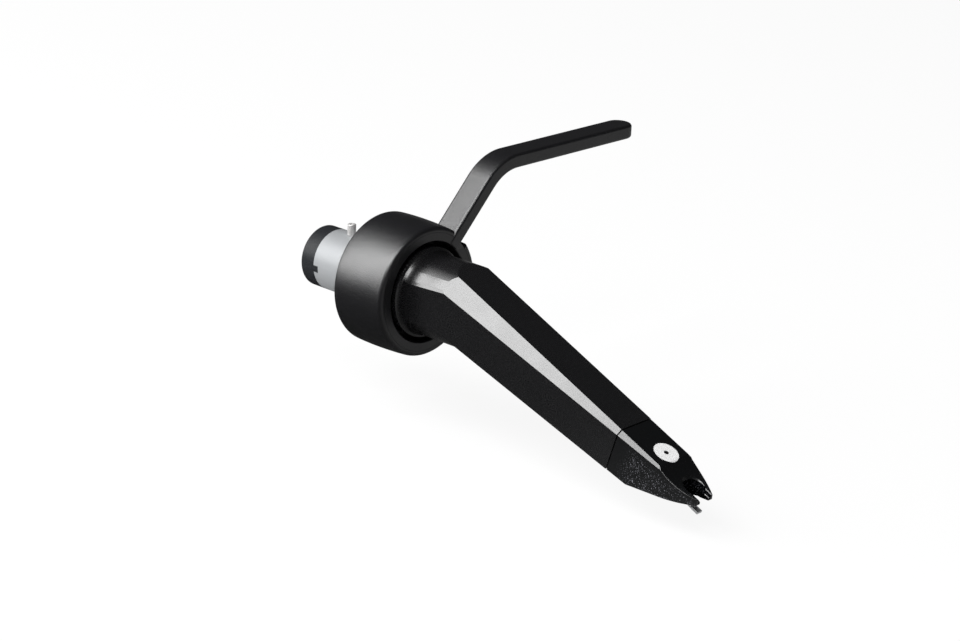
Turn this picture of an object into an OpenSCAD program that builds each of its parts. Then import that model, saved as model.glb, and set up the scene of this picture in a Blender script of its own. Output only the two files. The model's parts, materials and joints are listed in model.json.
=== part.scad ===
// Turntable stylus cartridge of the plug-in kind: a four-contact bayonet plug, a collar
// with a finger lift, a slanted body, and a pull-off stylus unit with cantilever and tip.
// The origin is the centre of the collar's rear seat, on the plug's axis. The plug points
// to +Y, the stylus to -Y and down, +Z is up, and the finger lift reaches out to +X.
// "Ahead" below means towards -Y. A height h is a distance ahead of the seat.

/* [Plug] */
// Outer diameter of the plug
plug_d = 8; // [7.9:0.05:8.1]
// Length of the plug behind the seat
plug_len = 10.75; // [10:0.25:12]
// Wall of the plug tube
tube_wall = 0.55; // [0.4:0.05:0.7]
// How far the plug tube reaches ahead of the seat
tube_root = 4.5; // [3:0.25:5]
// Length of the insulating ring at the plug's end
end_ring_len = 2.25; // [1.5:0.25:3]
// Length of the contact carrier inside the tube
carrier_len = 6; // [4:0.5:7]
// Width of the key slot in the tube's end
key_w = 0.9; // [0.6:0.05:1.3]
// Length of the key slot
key_len = 0.8; // [0.5:0.1:1.5]
// Angle of the key slot round the tube, from +X towards +Z
key_angle = 185; // [150:5:210]
// Distance of the locating pin behind the seat
pin_y = 5.75; // [5:0.25:6]
// Diameter of the locating pin
pin_d = 1.1; // [0.9:0.05:1.4]
// Height of the locating pin above the tube
pin_h = 1.45; // [1:0.05:2]
// Diameter of the pin's shank in the tube's wall
shank_d = 0.7; // [0.5:0.05:0.75]
// Spacing of the contacts across and up
contact_pitch = 3.2; // [2.8:0.1:3.4]
// Diameter of a contact
contact_d = 1.2; // [0.9:0.1:1.4]
// How far a contact stands out of the plug's end
contact_out = 0.6; // [0.3:0.1:1]
// Diameter of a contact's solder tail
tail_d = 0.6; // [0.4:0.1:0.8]
// Length of a contact's solder tail
tail_len = 1.5; // [1:0.25:2]

/* [Collar] */
// Length of the collar
collar_len = 8.2; // [7.5:0.1:9]
// Diameter of the collar at its rear edge
collar_rear_d = 16.86; // [16.5:0.02:17.2]
// Diameter of the collar at the middle of its length
collar_mid_d = 17; // [16.8:0.02:17.4]
// Diameter of the collar at its front, before the edge is rounded
collar_front_d = 16.56; // [16.3:0.02:17]
// Radius of the collar's rear edge
rear_edge = 0.25; // [0.1:0.05:0.5]
// Radius of the collar's front edge
front_edge = 0.55; // [0.3:0.05:0.65]
// Thickness of the collar's rear wall
rear_wall = 1.5; // [1:0.25:2]
// Depth of the hollow in the collar's mouth
mouth_depth = 3; // [2:0.25:3.4]
// Width of the collar's lip round the lift's ring
lip_w = 0.68; // [0.63:0.01:0.88]
// Width of the ledge that the ring rests on
ledge_w = 0.7; // [0.5:0.05:0.9]

/* [Finger lift] */
// Width of the lift's ring
ring_w = 1.15; // [1:0.05:1.6]
// Thickness of the lift's ring
ring_t = 0.85; // [0.6:0.05:1.2]
// Bevel on the inner edge of the ring
ring_bevel = 0.15; // [0.05:0.05:0.3]
// Width of the arm
arm_w = 3.65; // [3:0.05:3.65]
// Thickness of the arm
arm_t = 1.9; // [1.4:0.05:2.2]
// Rise of the arm's lower stretch from the horizontal
arm_rise = 46.5; // [40:0.5:52]
// Sideways offset of the arm from the plug's axis
arm_offset = 0.5; // [0:0.05:0.7]
// Height of the arm's top face above the plug's axis
arm_top_z = 15.05; // [13:0.25:18]
// Reach of the arm's tip from the plug's axis
arm_reach = 38.7; // [30:0.5:42]
// Radius of the arm's bend along its middle
arm_bend_r = 6.85; // [4:0.25:8]
// Radius of the arm's long edges
arm_edge = 0.4; // [0.2:0.05:0.6]
// How far the arm's front face stands ahead of the collar
arm_proud = 0.1; // [0:0.05:0.3]
// Width of the relief beside the arm's root
arm_relief = 1.1; // [0.3:0.1:1.4]

/* [Body] */
// Diameter of the round neck
neck_d = 10.44; // [10:0.04:10.8]
// Diameter of the spigot that sits in the collar
spigot_d = 10.8; // [10.5:0.05:11.2]
// Diameter of the neck's root inside the collar's mouth
root_d = 11.56; // [11.3:0.02:11.8]
// Length over which the root narrows to the neck
root_len = 1.15; // [0.8:0.05:1.4]
// Distance of the elbow ahead of the seat, on the top face's edge
elbow_h = 15.67; // [14:0.1:17]
// Height of the top face's edge at the elbow
elbow_z = 4.54; // [4.4:0.02:4.7]
// Slope of the top face
top_slope = 23.4; // [21:0.2:25]
// Width of the top face
top_w = 5.2; // [4.6:0.1:5.6]
// Angle between the top face and its bevels
bevel_angle = 46; // [42:1:50]
// Distance ahead of the seat at which the side flats start
flat_h = 8.45; // [8.3:0.05:9]
// Width across the flats at the neck's root
neck_w = 9.3; // [9.1:0.05:9.5]
// Width across the flats at the elbow
elbow_w = 9; // [8.8:0.05:9.2]
// Width across the flats at the nose
nose_w = 5.74; // [5.5:0.02:6]
// Distance ahead of the seam at which the flats reach the nose's width
nose_s = 7.04; // [6.4:0.02:7.4]
// Slope of the underside
under_slope = 20; // [19:0.2:20.4]
// Height of the underside where the neck's flats end
under_z = -2.8; // [-3:0.05:-2.7]
// Distance of that point behind the elbow
under_back = 0.77; // [0.5:0.01:1]

/* [Stylus unit] */
// Length of the top face from the elbow to the seam, measured at the depth of the axis
seam_len = 29.55; // [27:0.05:31]
// Lean of the seam from the vertical
seam_lean = 16; // [12:0.5:20]
// Width of the seam
seam_gap = 0.14; // [0.08:0.02:0.3]
// Step of the stylus unit's faces inside the body's
unit_step = 0.05; // [0:0.01:0.12]
// Depth of the stylus axis below the top face
axis_depth = 3.17; // [3.1:0.01:3.25]
// Depth of the flat foot below the place where the axis crosses the seam
foot_drop = 3.2; // [3:0.02:3.4]
// Distance ahead of the seam at which the nose's top leaves the top face
dip_s = 6.63; // [6:0.01:7]
// Run of the steep stretch at the start of the nose's top
dip_run = 1.4; // [1:0.1:2]
// Drop of that stretch below the top face
dip_drop = 0.98; // [0.8:0.01:1.05]
// Distance of the nose's front ahead of the seam
front_s = 11.55; // [11.4:0.01:11.8]
// Drop of the nose's front edge below the top face
front_drop = 1.05; // [1:0.01:1.2]
// Width of the nose's front
front_w = 2.78; // [2.6:0.02:3]
// Fullness of the nose's side curve
side_sag = 0.35; // [0.2:0.05:0.5]
// Diameter of the sight hole in the nose
sight_d = 1.7; // [1.4:0.1:1.9]
// Distance of the sight hole ahead of the seam
sight_s = 9.87; // [9.6:0.01:10]
// Diameter of the countersink round the sight hole
sink_d = 2.6; // [2.2:0.1:3]
// Width of the notch ahead of the sight hole
notch_w = 1.56; // [1.4:0.02:1.64]
// Bevel along the notch's upper edges
notch_bevel = 0.33; // [0.2:0.01:0.4]
// Width of the slot under the nose
slot_w = 1.5; // [1.4:0.05:1.7]

/* [Generator] */
// Width of the screening can
can_w = 4.5; // [4.3:0.05:4.6]
// Length of the screening can
can_len = 10; // [9.5:0.25:12]
// Wall of the screening can
can_wall = 0.2; // [0.15:0.05:0.25]
// Reach of the can below the stylus axis
can_low = 1.4; // [1.35:0.01:1.45]
// Reach of the can above the stylus axis
can_high = 2.05; // [1.8:0.05:2.1]
// Length of the snout ahead of the seam
snout_len = 3; // [2:0.25:3.2]
// Width of the snout
snout_w = 3.7; // [3.6:0.02:3.8]
// Diameter of a pole piece
pole_d = 0.4; // [0.3:0.02:0.4]
// Spacing of the pole pieces across
pole_x = 2.9; // [2.84:0.02:2.96]
// Spacing of the pole pieces in height
pole_z = 1.6; // [1.56:0.02:1.6]
// Outer diameter of a coil
coil_d = 0.72; // [0.6:0.02:0.74]
// Length of a coil
coil_len = 5; // [3:0.25:5.5]
// Thickness of the former's cheeks
cheek_t = 0.7; // [0.5:0.05:0.8]
// Thickness of the rear yoke
yoke_t = 0.5; // [0.3:0.05:0.6]
// Thickness of the terminal board
board_t = 0.7; // [0.5:0.05:0.8]
// Diameter of a terminal pin
terminal_d = 0.36; // [0.3:0.02:0.5]
// Diameter of an insulated lead wire
lead_d = 0.4; // [0.3:0.02:0.5]
// Distance of the leads' bends behind the elbow
lead_bend_back = 0.67; // [0.5:0.01:1]
// Depth of the upper leads' bends below the elbow
lead_upper_drop = 2.94; // [2.8:0.02:3.1]
// Depth of the lower leads' bends below the elbow
lead_lower_drop = 4.44; // [4.3:0.02:4.6]
// Room in the can behind the coils for the yoke, the board and the terminals
rear_room = 2.6; // [2.4:0.05:2.9]
// Length of the tie wire's anchor
anchor_len = 1.2; // [1:0.1:1.6]

/* [Stylus] */
// Outer diameter of the sleeve that plugs into the snout
sleeve_d = 1.9; // [1.84:0.02:1.96]
// Wall of the sleeve
sleeve_wall = 0.25; // [0.2:0.01:0.27]
// Reach of the sleeve behind the seam
sleeve_back = 6; // [4:0.25:7]
// Reach of the sleeve ahead of the seam
sleeve_front = 5; // [4.9:0.05:5.3]
// Distance of the pivot ahead of the seam
pivot_s = 4.4; // [4.3:0.02:4.5]
// Thickness of the suspension ring
ring_len = 0.7; // [0.5:0.05:0.8]
// Outer diameter of the cantilever
cantilever_d = 0.65; // [0.5:0.05:0.7]
// Wall of the cantilever
cantilever_wall = 0.12; // [0.08:0.01:0.14]
// Diameter of the cantilever's stub inside the suspension ring
stub_d = 0.52; // [0.46:0.02:0.54]
// Distance of the cantilever's end ahead of the seam
cantilever_end = 11.9; // [11.7:0.05:12.1]
// Length of the cantilever's flattened end
flat_len = 0.95; // [0.8:0.05:1.1]
// Width of the cantilever's flattened end
flat_w = 0.8; // [0.6:0.05:0.9]
// Thickness of the cantilever's flattened end
flat_t = 0.3; // [0.2:0.05:0.35]
// Distance of the stylus tip behind the cantilever's end
tip_back = 0.58; // [0.45:0.01:0.65]
// Length of the diamond
diamond_len = 0.74; // [0.66:0.02:0.8]
// Diameter of the diamond
diamond_d = 0.26; // [0.2:0.02:0.3]
// Diameter of the magnet
magnet_d = 1; // [0.8:0.05:1.06]
// Length of the magnet
magnet_len = 1.3; // [1:0.05:1.4]
// Diameter of the tie wire
wire_d = 0.1; // [0.06:0.02:0.14]

/* [Hidden] */

$fn = 64;
// Clearance of a pressed or glued fit, on the radius
fit_gap = 0.01;
// Clearance of a part that slides, on the radius
slide_gap = 0.05;
// Clearance round a part that swings in the suspension
swing_gap = 0.03;
// Extra length by which a cutting shape passes through
over = 1;
// Size of the blocks that stand for open space
far = 40;
// Height that clears the top of the body everywhere
clear_z = 8;

plug_r = plug_d / 2;
tube_in_r = plug_r - tube_wall;
shank_len = 0.2;
neck_r = neck_d / 2;
mouth_h = collar_len - mouth_depth;
ring_out_d = collar_front_d - 2 * lip_w;
ring_in_d = ring_out_d - 2 * ring_w;
mouth_d = ring_out_d - 2 * ledge_w;
root_h = collar_len - 0.05;
tube_end_y = plug_len - end_ring_len;
carrier_front_y = tube_end_y - carrier_len;

arm_dir = [cos(arm_rise), sin(arm_rise)];
arm_front_h = collar_len + arm_proud;
arm_mid_h = arm_front_h - arm_w / 2;
arm_z = arm_top_z - arm_t / 2;
// Length of the lower stretch from the axis's foot point to the corner of the two stretches
arm_corner_s = (arm_z - arm_offset * cos(arm_rise)) / sin(arm_rise);
arm_corner_x = arm_corner_s * cos(arm_rise) - arm_offset * sin(arm_rise);
arm_tangent = arm_bend_r * tan(arm_rise / 2);
arm_start_s = ring_in_d / 2 + ring_bevel;
// How far the lower stretch runs into the bend
arm_lap = 0.1;
tip_x = arm_reach - arm_w / 2;

pivot_len = ring_len / 2;
magnet_gap = 0.1;
magnet_rear_s = pivot_s - pivot_len - magnet_gap - magnet_len;
can_front_s = -0.6;
cheek_front_s = can_front_s - 0.2;
cheek_rear_s = can_front_s - can_len + rear_room;
cheek_low = can_low - can_wall - slide_gap;
cheek_high = can_high - can_wall - slide_gap;
cheek_w = can_w - 2 * can_wall - 2 * slide_gap;
bore_r = sleeve_d / 2 + slide_gap;
former_r = cheek_low - fit_gap;
snout_high = 1.5;
yoke_s = cheek_rear_s - cheek_t - 0.1;
// Gap between the yoke and the board, and the terminals' ends on either side of the board
board_gap = 0.5;
terminal_stub = 0.3;
terminal_tail = 2;
board_s = yoke_s - yoke_t - board_gap;
terminal_front_s = board_s + terminal_stub;
terminal_rear_s = board_s - board_t - terminal_tail;
terminal_x = 1.3;
terminal_z = 0.7;
anchor_front_s = -1;
anchor_rear_s = anchor_front_s - anchor_len;
// The tie wire starts inside the anchor and stops short of the magnet
wire_rear_s = anchor_rear_s + 0.1;
wire_front_s = magnet_rear_s - 0.15;
duct_len = seam_len - 0.4;
duct_h = elbow_h - 0.17;
duct_r = 2.9;
lead_bend_h = elbow_h - lead_bend_back;
// How far a lead's stretches stop short of the middle of the bead that joins them
bead_short = 0.12;

// The place where the stylus axis crosses the seam: distance ahead of the seat and height
seam_h = elbow_h + seam_len * cos(top_slope) - axis_depth * sin(top_slope);
seam_z = elbow_z - seam_len * sin(top_slope) - axis_depth * cos(top_slope);
// Places of the body and the stylus unit as distances ahead of the seat
under_h = elbow_h - under_back;
nose_h = seam_h + nose_s;
dip_h = seam_h + dip_s;
front_h = seam_h + front_s;
sight_h = seam_h + sight_s;
end_h = front_h + clear_z;
foot_z = seam_z - foot_drop;
tip_s = cantilever_end - tip_back;
tip_h = seam_h + tip_s * cos(top_slope);

// Points of a circular arc
function arc(cx, cy, r, from, to, steps = 12) =
    [for (i = [0:steps]) let (a = from + (to - from) * i / steps) [cx + r * cos(a), cy + r * sin(a)]];

// Points of a curve from p to q that heads for the corner c at both ends
function bend(p, c, q, steps = 16) =
    [for (i = [0:steps]) let (t = i / steps) p * (1 - t) * (1 - t) + c * 2 * t * (1 - t) + q * t * t];

// Points of a shallow curve from p to q that stands off its chord by sag, on the left side
function bow(p, q, sag, steps = 16) =
    let (d = q - p, n = [-d[1], d[0]] / norm(d))
    [for (i = [0:steps]) let (t = i / steps) p + d * t + n * sag * 4 * t * (1 - t)];

// Radius of the collar's barrel at a height ahead of the seat
function collar_r(h) =
    let (t = h / collar_len)
    (collar_rear_d * (1 - t) * (1 - 2 * t) + collar_mid_d * 4 * t * (1 - t)
        + collar_front_d * t * (2 * t - 1)) / 2;

// Half of the body's width across the flats at a height ahead of the seat
function flat_half(h) =
    h < under_h
        ? (neck_w + (elbow_w - neck_w) * (h - flat_h) / (under_h - flat_h)) / 2
        : (elbow_w + (nose_w - elbow_w) * (h - under_h) / (nose_h - under_h)) / 2;

// Height of the body's underside at a height ahead of the seat
function under_at(h) = under_z - tan(under_slope) * (h - under_h);

// Height of the top face
function top_at(h) = elbow_z - tan(top_slope) * (h - elbow_h);

// A place of the sloping frame as a place of the part
function from_slide(x, s, z) =
    let (c = cos(top_slope), k = sin(top_slope))
    [x, -seam_h - s * c - z * k, seam_z - s * k + z * c];

// Turns a profile's height axis so that it runs ahead from the seat
module ahead() rotate([90, 0, 0]) children();

// Frame of the top face: its origin is at the elbow and its Y axis runs up the slope
module slope_frame() translate([0, -elbow_h, elbow_z]) rotate([top_slope, 0, 0]) children();

// Frame of the stylus axis: its origin is where the axis crosses the seam
module slide_frame() slope_frame() translate([0, -seam_len, -axis_depth]) children();

// A block in the stylus axis's frame, from one distance ahead of the seam back to another
module slide_block(half_w, low, high, front, back)
    translate([-half_w, -front, -low]) cube([2 * half_w, front - back, low + high]);

// A round bar in the stylus axis's frame
module slide_bar(r, front, back)
    translate([0, -front, 0]) rotate([-90, 0, 0]) cylinder(r = r, h = front - back);

// Everything ahead of the seam, less half of its gap
module ahead_of_seam(gap)
    slide_frame() rotate([seam_lean - top_slope, 0, 0])
        translate([-far, -2 * far - gap / 2, -far]) cube([2 * far, 2 * far, 2 * far]);

// Plug

module connector_tube() {
    color([0.78, 0.79, 0.80]) difference() {
        ahead() translate([0, 0, -tube_end_y]) cylinder(r = plug_r, h = tube_end_y + tube_root);
        ahead() translate([0, 0, -tube_end_y - over])
            cylinder(r = tube_in_r, h = tube_end_y + tube_root + 2 * over);
        key_block(key_w, key_len + over);
        pin_block(shank_d / 2 + fit_gap);
    }
}

// The key slot's shape, from the tube's end inwards
module key_block(w, len)
    rotate([0, -key_angle, 0])
        translate([tube_in_r - over, tube_end_y - key_len, -w / 2]) cube([plug_r, len, w]);

// The space of the locating pin's shank
module pin_block(r) translate([0, pin_y, tube_in_r - shank_len]) cylinder(r = r, h = plug_r);

module contact_carrier() {
    color([0.09, 0.09, 0.10]) difference() {
        union() {
            ahead() translate([0, 0, -plug_len]) cylinder(r = plug_r, h = end_ring_len);
            ahead() translate([0, 0, -tube_end_y - over])
                cylinder(r = tube_in_r - fit_gap, h = carrier_len + over);
            intersection() {
                key_block(key_w - 2 * fit_gap, key_len + over);
                ahead() translate([0, 0, -plug_len]) cylinder(r = plug_r, h = plug_len);
            }
        }
        for (side = [-1, 1]) for (level = [-1, 1])
            ahead() translate([side * contact_pitch / 2, level * contact_pitch / 2, -plug_len - over])
                cylinder(d = contact_d + 2 * fit_gap, h = plug_len + over);
        pin_block(shank_d / 2 + fit_gap);
    }
}

module contact(side, level) {
    color([0.85, 0.68, 0.32]) ahead()
        translate([side * contact_pitch / 2, level * contact_pitch / 2, -plug_len]) {
            cylinder(d = contact_d, h = end_ring_len + carrier_len);
            translate([0, 0, -contact_out + contact_d / 4])
                cylinder(d = contact_d, h = contact_out);
            translate([0, 0, -contact_out])
                cylinder(d1 = contact_d / 2, d2 = contact_d, h = contact_d / 4);
            translate([0, 0, end_ring_len + carrier_len]) cylinder(d = tail_d, h = tail_len);
        }
}

module locating_pin() {
    dimple_r = 0.32;
    edge = 0.12;
    top = plug_r + pin_h;
    foot = tube_in_r - shank_len + fit_gap;
    color([0.80, 0.80, 0.82]) translate([0, pin_y, 0]) difference() {
        rotate_extrude() polygon(concat(
            [
                [0, foot], [shank_d / 2, foot],
                [shank_d / 2, plug_r + fit_gap], [pin_d / 2, plug_r + fit_gap]
            ],
            arc(pin_d / 2 - edge, top - edge, edge, 0, 90, 4),
            [[0, top]]));
        translate([0, 0, top - dimple_r / 2]) cylinder(r1 = 0.05, r2 = dimple_r, h = dimple_r / 2 + 0.01);
    }
}

// Collar and finger lift

// Outline of one side of the collar: radius and height ahead of the seat
function collar_profile() = concat(
    [[plug_r + fit_gap, 0]],
    arc(collar_r(0) - rear_edge, rear_edge, rear_edge, -90, 0, 6),
    [for (i = [1:11]) let (h = rear_edge + (collar_len - rear_edge - front_edge) * i / 12)
        [collar_r(h), h]],
    arc(collar_r(collar_len - front_edge) - front_edge, collar_len - front_edge, front_edge, 0, 90, 8),
    [
        [ring_out_d / 2 + fit_gap, collar_len],
        [ring_out_d / 2 + fit_gap, collar_len - ring_t],
        [mouth_d / 2, collar_len - ring_t],
        [mouth_d / 2, mouth_h],
        [spigot_d / 2 + fit_gap, mouth_h],
        [spigot_d / 2 + fit_gap, rear_wall],
        [plug_r + fit_gap, rear_wall]
    ]);

module collar() {
    color([0.11, 0.11, 0.12]) difference() {
        ahead() rotate_extrude($fn = 96) polygon(collar_profile());
        arm_slot();
    }
}

// The slot that the arm leaves through, with its relief on the lower side
module arm_slot() {
    back_h = arm_front_h - arm_w - slide_gap;
    side = arm_t / 2 + slide_gap;
    ahead() rotate([0, 0, arm_rise])
        translate([ring_in_d / 2 - over, arm_offset - side - arm_relief, back_h])
            cube([far, 2 * side + arm_relief, far]);
}

// Section of the arm: thickness along X, width along Y
module arm_section(inset = 0) {
    w = arm_w / 2 - arm_edge - inset;
    t = arm_t / 2 - arm_edge - inset;
    polygon(concat(
        arc(t, w, arm_edge, 0, 90, 6), arc(-t, w, arm_edge, 90, 180, 6),
        arc(-t, -w, arm_edge, 180, 270, 6), arc(t, -w, arm_edge, 270, 360, 6)));
}

// A straight stretch of the arm, in the plane of the arm's middle line
module arm_stretch(len, inset = 0) rotate([90, 0, 90]) linear_extrude(len) arm_section(inset);

module finger_lift() {
    color([0.12, 0.12, 0.13]) {
        ahead() rotate_extrude($fn = 96) polygon([
            [ring_in_d / 2, collar_len - ring_t],
            [ring_out_d / 2, collar_len - ring_t],
            [ring_out_d / 2, collar_len],
            [ring_in_d / 2 + ring_bevel, collar_len],
            [ring_in_d / 2, collar_len - ring_bevel]
        ]);
        ahead() translate([0, 0, arm_mid_h]) {
            rotate([0, 0, arm_rise]) translate([arm_start_s, arm_offset, 0])
                arm_stretch(arm_corner_s - arm_tangent - arm_start_s + arm_lap, fit_gap);
            translate([arm_corner_x + arm_tangent, arm_z - arm_bend_r, 0])
                rotate([0, 0, 90]) rotate_extrude(angle = arm_rise) translate([arm_bend_r, 0])
                    arm_section();
            translate([arm_corner_x + arm_tangent, arm_z, 0])
                arm_stretch(tip_x - arm_corner_x - arm_tangent);
        }
        translate([tip_x, -arm_mid_h, arm_z]) rotate([0, 0, -90]) rotate_extrude(angle = 180)
            intersection() {
                rotate(90) arm_section();
                translate([0, -arm_t]) square([arm_w, 2 * arm_t]);
            }
    }
}

// Body

// The space below the top face and its bevels, drawn in by inset
module roof(inset) {
    half = top_w / 2 - inset * tan(bevel_angle / 2);
    drop = far * tan(bevel_angle);
    slope_frame() translate([0, far, 0]) rotate([90, 0, 0]) linear_extrude(3 * far) polygon([
        [half, -inset], [half + far, -inset - drop], [half + far, -3 * far],
        [-half - far, -3 * far], [-half - far, -inset - drop], [-half, -inset]
    ]);
}

// The space between the side flats of the neck and the body
module flats() {
    side = [
        [far, far], [far, -flat_h], [flat_half(flat_h), -flat_h],
        [flat_half(under_h), -under_h], [flat_half(end_h), -end_h]
    ];
    translate([0, 0, -far]) linear_extrude(2 * far) polygon(concat(side, across(side)));
}

// The same outline on the other side of the part, in the opposite order
function across(side) = [for (i = [len(side) - 1:-1:0]) [-side[i][0], side[i][1]]];

// A prism across the part from an outline of heights ahead of the seat and heights up
module side_prism(outline)
    rotate([90, 0, -90]) translate([0, 0, -far]) linear_extrude(2 * far) polygon(outline);

// The round neck with its spigot, and the root that narrows to it in a hollow curve
module neck() {
    inside_h = (elbow_h + seam_h) / 2;
    ahead() rotate_extrude() polygon(concat(
        [
            [0, rear_wall + fit_gap], [spigot_d / 2, rear_wall + fit_gap],
            [spigot_d / 2, mouth_h + fit_gap], [root_d / 2, mouth_h + fit_gap]
        ],
        bend([root_d / 2, root_h], [neck_r, root_h + 0.1], [neck_r, root_h + root_len], 8),
        [[neck_r, inside_h], [0, inside_h]]));
}

module body_outside() {
    start_h = (collar_len + elbow_h) / 2;
    intersection() {
        roof(0);
        flats();
        union() {
            neck();
            side_prism([
                [start_h, under_at(start_h)], [start_h, 0], [elbow_h, 0], [elbow_h, clear_z],
                [end_h, clear_z], [end_h, under_at(end_h)]
            ]);
        }
    }
}

module body_shell() {
    duct_half = can_w / 2 + slide_gap;
    color([0.10, 0.10, 0.11]) difference() {
        body_outside();
        ahead_of_seam(-seam_gap);
        slide_frame()
            slide_block(duct_half, can_low + slide_gap, can_high + slide_gap, over, -duct_len);
        ahead() cylinder(r = plug_r + fit_gap, h = tube_root + fit_gap);
        ahead() cylinder(r = duct_r, h = duct_h);
    }
}

// Generator, in the frame of the stylus axis

module screening_can() {
    color([0.62, 0.62, 0.60]) slide_frame() difference() {
        slide_block(can_w / 2, can_low, can_high, can_front_s, can_front_s - can_len);
        slide_block(can_w / 2 - can_wall, can_low - can_wall, can_high - can_wall,
            can_front_s + over, can_front_s - can_len - over);
    }
}

module coil_former() {
    color([0.16, 0.15, 0.14]) slide_frame() difference() {
        union() {
            slide_bar(former_r, snout_len, cheek_rear_s - cheek_t);
            slide_block(snout_w / 2, cheek_low, snout_high, snout_len, cheek_front_s);
            slide_block(cheek_w / 2, cheek_low, cheek_high, cheek_front_s, cheek_front_s - cheek_t);
            slide_block(cheek_w / 2, cheek_low, cheek_high, cheek_rear_s, cheek_rear_s - cheek_t);
        }
        slide_bar(bore_r, snout_len + over, cheek_rear_s - cheek_t - over);
        for (side = [-1, 1]) for (level = [-1, 1])
            at_pole(side, level) slide_bar(pole_d / 2 + fit_gap, snout_len + over, yoke_s);
    }
}

module at_pole(side, level) translate([side * pole_x / 2, 0, level * pole_z / 2]) children();

module pole(side, level) {
    color([0.55, 0.55, 0.57]) slide_frame() at_pole(side, level)
        slide_bar(pole_d / 2, snout_len - 0.1, yoke_s - yoke_t);
}

module coil(side, level) {
    middle = (cheek_front_s - cheek_t + cheek_rear_s) / 2;
    color([0.72, 0.38, 0.20]) slide_frame() at_pole(side, level) difference() {
        slide_bar(coil_d / 2, middle + coil_len / 2, middle - coil_len / 2);
        slide_bar(pole_d / 2 + fit_gap, middle + coil_len, middle - coil_len);
    }
}

module rear_yoke() {
    color([0.50, 0.50, 0.52]) slide_frame() difference() {
        slide_block(pole_x / 2 + 0.4, pole_z / 2 + 0.35, pole_z / 2 + 0.4, yoke_s, yoke_s - yoke_t);
        for (side = [-1, 1]) for (level = [-1, 1])
            at_pole(side, level)
                slide_bar(pole_d / 2 + fit_gap, yoke_s + over, yoke_s - yoke_t - over);
    }
}

module terminal_board() {
    color([0.30, 0.22, 0.12]) slide_frame() difference() {
        slide_block(cheek_w / 2, cheek_low, cheek_high, board_s, board_s - board_t);
        for (side = [-1, 1]) for (level = [-1, 1])
            translate([side * terminal_x, 0, level * terminal_z])
                slide_bar(terminal_d / 2 + fit_gap, board_s + over, board_s - board_t - over);
    }
}

module terminal(side, level) {
    color([0.80, 0.66, 0.35]) slide_frame() translate([side * terminal_x, 0, level * terminal_z])
        slide_bar(terminal_d / 2, terminal_front_s, terminal_rear_s);
}

// A straight round stretch between two places, stopped short of each of them
module rod_between(p, q, d, p_short, q_short) {
    v = q - p;
    turn = atan2(v[1], v[0]);
    tilt = acos(v[2] / norm(v));
    translate(p) rotate([0, tilt, turn]) translate([0, 0, p_short])
        cylinder(d = d, h = norm(v) - p_short - q_short);
}

// A lead wire from its terminal, up the body's duct and through the neck to its contact
module lead(side, level) {
    start = from_slide(side * terminal_x, terminal_rear_s - 0.03, level * terminal_z);
    bend_drop = level > 0 ? lead_upper_drop : lead_lower_drop;
    bend = [side * terminal_x, -lead_bend_h, elbow_z - bend_drop];
    end = [side * contact_pitch / 2, carrier_front_y - tail_len - 0.03, level * contact_pitch / 2];
    shade = level > 0 ? (side > 0 ? [0.8, 0.1, 0.1] : [0.9, 0.9, 0.9])
        : (side > 0 ? [0.1, 0.5, 0.2] : [0.1, 0.2, 0.7]);
    color(shade) {
        rod_between(start, bend, lead_d, 0, bead_short);
        translate(bend) sphere(d = lead_d + 0.2);
        rod_between(bend, end, lead_d, bead_short, 0);
    }
}

// Stylus unit

// Plan outline of the stylus unit: it follows the flats, then closes in to the nose
module unit_plan() {
    start_h = elbow_h;
    nose = bow([flat_half(dip_h) - unit_step, -dip_h], [front_w / 2, -front_h], side_sag);
    side = concat([[flat_half(start_h) - unit_step, -start_h]], nose);
    translate([0, 0, -far]) linear_extrude(2 * far) polygon(concat(side, across(side)));
}

// Side outline of the stylus unit: underside, foot, front and the dip of the nose's top
function unit_side() =
    let (
        foot_h = under_h + (under_z - foot_z) / tan(under_slope),
        dip = [dip_h, top_at(dip_h)],
        corner = [dip_h + dip_run, top_at(dip_h + dip_run) - dip_drop],
        front = [front_h, top_at(front_h) - front_drop]
    )
    concat(
        [
            [elbow_h, clear_z], [elbow_h, under_at(elbow_h)],
            [foot_h, foot_z], [front_h - 0.12, foot_z - 0.1]
        ],
        bend(front, corner, dip),
        [[dip_h - clear_z, clear_z]]);

module unit_outside() {
    intersection() {
        roof(unit_step);
        unit_plan();
        side_prism(unit_side());
        ahead_of_seam(seam_gap);
    }
}

module stylus_shell() {
    socket_half = snout_w / 2 + slide_gap;
    tunnel_high = 0.6;
    color([0.12, 0.12, 0.13]) difference() {
        unit_outside();
        slide_frame() {
            slide_block(socket_half, cheek_low + slide_gap, snout_high + slide_gap,
                snout_len + slide_gap, -over);
            slide_bar(sleeve_d / 2 + fit_gap, sleeve_front + fit_gap, 0);
            slide_block(slot_w / 2, clear_z, tunnel_high, end_h - seam_h, sleeve_front);
        }
        sight_hole();
        notch();
    }
}

// The hole through which the tip is seen from above, with its countersink
module sight_hole() {
    sink_t = (sink_d - sight_d) / 2;
    place = (sight_h - elbow_h + front_drop * sin(top_slope)) / cos(top_slope);
    translate([0, -sight_h, foot_z - over]) cylinder(d = sight_d, h = clear_z);
    slope_frame() translate([0, -place, -front_drop - sink_t])
        cylinder(d1 = sight_d, d2 = sink_d + 2 * over, h = sink_t + over);
}

// The notch from the sight hole to the nose's front, with its upper edges bevelled
module notch() {
    half = notch_w / 2;
    edge = -front_drop - notch_bevel;
    // Middle of the nose's roof above the tunnel, where the notch meets the hole's centre
    start = (sight_h + 0.1 - elbow_h + (front_drop + axis_depth) / 2 * sin(top_slope)) / cos(top_slope);
    slope_frame() translate([0, -start, 0]) rotate([90, 0, 0]) linear_extrude(clear_z) polygon([
        [half, edge], [half + clear_z, edge + clear_z], [-half - clear_z, edge + clear_z],
        [-half, edge], [-half, edge - clear_z], [half, edge - clear_z]
    ]);
}

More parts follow.
